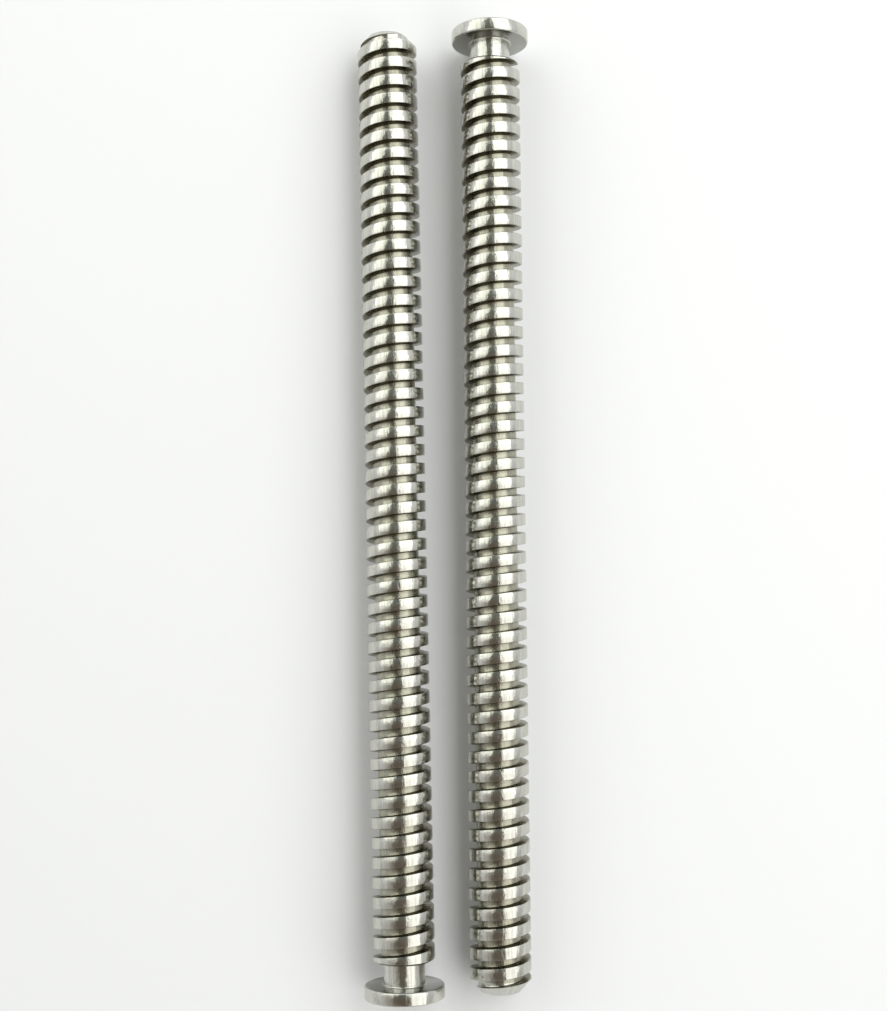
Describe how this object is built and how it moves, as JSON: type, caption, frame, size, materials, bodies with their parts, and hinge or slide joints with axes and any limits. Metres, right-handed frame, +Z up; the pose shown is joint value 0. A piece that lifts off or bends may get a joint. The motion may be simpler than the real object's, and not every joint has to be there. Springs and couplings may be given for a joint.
{
  "type": "lead screw",
  "caption": "Turned steel lead screws lying side by side, head to tail: right-hand square-form thread, short relief neck, plain round head and chamfered tip.",
  "frame": {"origin": "centre of the pair's bounding box, at the surface that the screws lie on", "axes": "+Y along the screws, towards the right screw's head; +X from the left screw to the right screw; +Z up"},
  "size_m": [0.0471, 0.2558, 0.0207],
  "materials": {
    "turned_stainless": "bright turned"
  },
  "bodies": {
    "left_screw": {"left_lead_screw": "turned_stainless"},
    "right_screw": {"right_lead_screw": "turned_stainless"}
  },
  "joints": [
    {"name": "right_screw_lift", "type": "slide", "parent": "left_screw", "child": "right_screw", "axis": [0, 0, 1], "range_m": [0, 0.03]}
  ]
}
